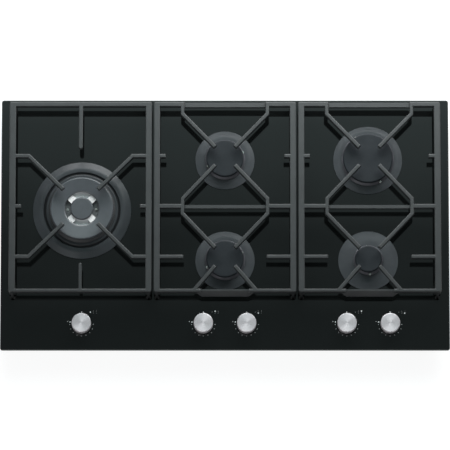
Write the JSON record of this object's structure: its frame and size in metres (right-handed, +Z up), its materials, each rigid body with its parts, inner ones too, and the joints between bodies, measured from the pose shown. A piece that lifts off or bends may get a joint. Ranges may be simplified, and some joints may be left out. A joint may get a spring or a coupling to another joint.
{
  "type": "built-in gas cooktop",
  "caption": "Built-in gas cooktop: black glass top, round burners on dished plates with a large wok burner at the left, cast-iron pan supports and a front row of push-and-turn knobs.",
  "frame": {"origin": "under the middle of the flat tray bottom, which is the middle of the glass in plan", "axes": "+X to the user's right along the glass, +Y to the back, +Z up; metres"},
  "size_m": [0.9, 0.51, 0.11],
  "materials": {
    "glass": "polished black tempered glass",
    "tray_steel": "zinc-coated sheet steel, dull",
    "zinc_screws": "bright zinc",
    "foam_seal": "matt foam",
    "cast_cup": "as cast",
    "dish_enamel": "satin black enamel",
    "crown_casting": "as cast, bare",
    "cap_enamel": "matt black enamel",
    "gasket": "matt",
    "brass": "machined",
    "ceramic": "glazed white ceramic",
    "sensor_steel": "bright drawn",
    "rail_steel": "grey coated steel",
    "pipe_aluminium": "drawn",
    "tap_casting": "die cast",
    "spindle_steel": "turned",
    "knob_aluminium": "spun satin face, fine turned lines",
    "black_plastic": "moulded",
    "white_plastic": "moulded",
    "cast_iron": "matt black enamel on cast iron",
    "foot_rubber": "matt silicone"
  },
  "bodies": {
    "cooktop": {"glass_top": "glass", "bottom_tray": "tray_steel", "worktop_seal": "foam_seal", "clamp_brackets": "tray_steel", "clamp_screws": "zinc_screws", "wok_burner_cup": "cast_cup", "rapid_burner_cup": "cast_cup", "auxiliary_burner_cup": "cast_cup", "semi_rapid_burner_cups": "cast_cup", "wok_burner_dish": "dish_enamel", "rear_middle_burner_dish": "dish_enamel", "front_middle_burner_dish": "dish_enamel", "rear_right_burner_dish": "dish_enamel", "front_right_burner_dish": "dish_enamel", "burner_gaskets": "gasket", "dish_screws": "zinc_screws", "gas_injectors": "brass", "spark_electrodes": "ceramic", "thermocouples": "sensor_steel", "gas_rail": "rail_steel", "rail_brackets": "tray_steel", "gas_inlet_elbow": "brass", "gas_taps": "tap_casting", "burner_pipes": "pipe_aluminium", "spark_generator": "white_plastic", "ignition_switches": "black_plastic", "shaft_seals": "gasket", "mains_lead_gland": "black_plastic"},
    "left_pan_support": {"left_grate": "cast_iron", "left_grate_feet": "foot_rubber"},
    "middle_pan_support": {"middle_grate": "cast_iron", "middle_grate_feet": "foot_rubber"},
    "right_pan_support": {"right_grate": "cast_iron", "right_grate_feet": "foot_rubber"},
    "wok_crown": {"wok_burner_crown": "crown_casting"},
    "wok_inner_cap": {"wok_inner_cap": "cap_enamel"},
    "wok_ring_cap": {"wok_ring_cap": "cap_enamel"},
    "rear_middle_crown": {"rear_middle_burner_crown": "crown_casting"},
    "rear_middle_cap": {"rear_middle_burner_cap": "cap_enamel"},
    "front_middle_crown": {"front_middle_burner_crown": "crown_casting"},
    "front_middle_cap": {"front_middle_burner_cap": "cap_enamel"},
    "rear_right_crown": {"rear_right_burner_crown": "crown_casting"},
    "rear_right_cap": {"rear_right_burner_cap": "cap_enamel"},
    "front_right_crown": {"front_right_burner_crown": "crown_casting"},
    "front_right_cap": {"front_right_burner_cap": "cap_enamel"},
    "wok_plug": {"wok_tap_plug": "brass"},
    "wok_control": {"wok_spindle": "spindle_steel", "wok_knob": "knob_aluminium"},
    "rear_middle_plug": {"rear_middle_tap_plug": "brass"},
    "rear_middle_control": {"rear_middle_spindle": "spindle_steel", "rear_middle_knob": "knob_aluminium"},
    "front_middle_plug": {"front_middle_tap_plug": "brass"},
    "front_middle_control": {"front_middle_spindle": "spindle_steel", "front_middle_knob": "knob_aluminium"},
    "rear_right_plug": {"rear_right_tap_plug": "brass"},
    "rear_right_control": {"rear_right_spindle": "spindle_steel", "rear_right_knob": "knob_aluminium"},
    "front_right_plug": {"front_right_tap_plug": "brass"},
    "front_right_control": {"front_right_spindle": "spindle_steel", "front_right_knob": "knob_aluminium"}
  },
  "joints": [
    {"name": "left_pan_support_lift", "type": "slide", "parent": "cooktop", "child": "left_pan_support", "axis": [0, 0, 1], "range_m": [0, 0.12]},
    {"name": "middle_pan_support_lift", "type": "slide", "parent": "cooktop", "child": "middle_pan_support", "axis": [0, 0, 1], "range_m": [0, 0.12]},
    {"name": "right_pan_support_lift", "type": "slide", "parent": "cooktop", "child": "right_pan_support", "axis": [0, 0, 1], "range_m": [0, 0.12]},
    {"name": "wok_crown_lift", "type": "slide", "parent": "cooktop", "child": "wok_crown", "axis": [0, 0, 1], "range_m": [0, 0.0045]},
    {"name": "wok_inner_cap_lift", "type": "slide", "parent": "wok_crown", "child": "wok_inner_cap", "axis": [0, 0, 1], "range_m": [0, 0.0045]},
    {"name": "wok_ring_cap_lift", "type": "slide", "parent": "wok_crown", "child": "wok_ring_cap", "axis": [0, 0, 1], "range_m": [0, 0.0045]},
    {"name": "rear_middle_crown_lift", "type": "slide", "parent": "cooktop", "child": "rear_middle_crown", "axis": [0, 0, 1], "range_m": [0, 0.006]},
    {"name": "rear_middle_cap_lift", "type": "slide", "parent": "rear_middle_crown", "child": "rear_middle_cap", "axis": [0, 0, 1], "range_m": [0, 0.006]},
    {"name": "front_middle_crown_lift", "type": "slide", "parent": "cooktop", "child": "front_middle_crown", "axis": [0, 0, 1], "range_m": [0, 0.006]},
    {"name": "front_middle_cap_lift", "type": "slide", "parent": "front_middle_crown", "child": "front_middle_cap", "axis": [0, 0, 1], "range_m": [0, 0.006]},
    {"name": "rear_right_crown_lift", "type": "slide", "parent": "cooktop", "child": "rear_right_crown", "axis": [0, 0, 1], "range_m": [0, 0.006]},
    {"name": "rear_right_cap_lift", "type": "slide", "parent": "rear_right_crown", "child": "rear_right_cap", "axis": [0, 0, 1], "range_m": [0, 0.006]},
    {"name": "front_right_crown_lift", "type": "slide", "parent": "cooktop", "child": "front_right_crown", "axis": [0, 0, 1], "range_m": [0, 0.006]},
    {"name": "front_right_cap_lift", "type": "slide", "parent": "front_right_crown", "child": "front_right_cap", "axis": [0, 0, 1], "range_m": [0, 0.006]},
    {"name": "wok_tap_turn", "type": "hinge", "parent": "cooktop", "child": "wok_plug", "pos_m": [-0.287, -0.203, 0.03], "axis": [0, 0, 1], "range_deg": [0, 270]},
    {"name": "wok_knob_push", "type": "slide", "parent": "wok_plug", "child": "wok_control", "axis": [0, 0, -1], "range_m": [0, 0.003], "stiffness_N_per_m": 800, "springref_m": -0.004},
    {"name": "rear_middle_tap_turn", "type": "hinge", "parent": "cooktop", "child": "rear_middle_plug", "pos_m": [-0.0433, -0.203, 0.03], "axis": [0, 0, 1], "range_deg": [0, 270]},
    {"name": "rear_middle_knob_push", "type": "slide", "parent": "rear_middle_plug", "child": "rear_middle_control", "axis": [0, 0, -1], "range_m": [0, 0.003], "stiffness_N_per_m": 800, "springref_m": -0.004},
    {"name": "front_middle_tap_turn", "type": "hinge", "parent": "cooktop", "child": "front_middle_plug", "pos_m": [0.0433, -0.203, 0.03], "axis": [0, 0, 1], "range_deg": [0, 270]},
    {"name": "front_middle_knob_push", "type": "slide", "parent": "front_middle_plug", "child": "front_middle_control", "axis": [0, 0, -1], "range_m": [0, 0.003], "stiffness_N_per_m": 800, "springref_m": -0.004},
    {"name": "rear_right_tap_turn", "type": "hinge", "parent": "cooktop", "child": "rear_right_plug", "pos_m": [0.2437, -0.203, 0.03], "axis": [0, 0, 1], "range_deg": [0, 270]},
    {"name": "rear_right_knob_push", "type": "slide", "parent": "rear_right_plug", "child": "rear_right_control", "axis": [0, 0, -1], "range_m": [0, 0.003], "stiffness_N_per_m": 800, "springref_m": -0.004},
    {"name": "front_right_tap_turn", "type": "hinge", "parent": "cooktop", "child": "front_right_plug", "pos_m": [0.3303, -0.203, 0.03], "axis": [0, 0, 1], "range_deg": [0, 270]},
    {"name": "front_right_knob_push", "type": "slide", "parent": "front_right_plug", "child": "front_right_control", "axis": [0, 0, -1], "range_m": [0, 0.003], "stiffness_N_per_m": 800, "springref_m": -0.004}
  ]
}
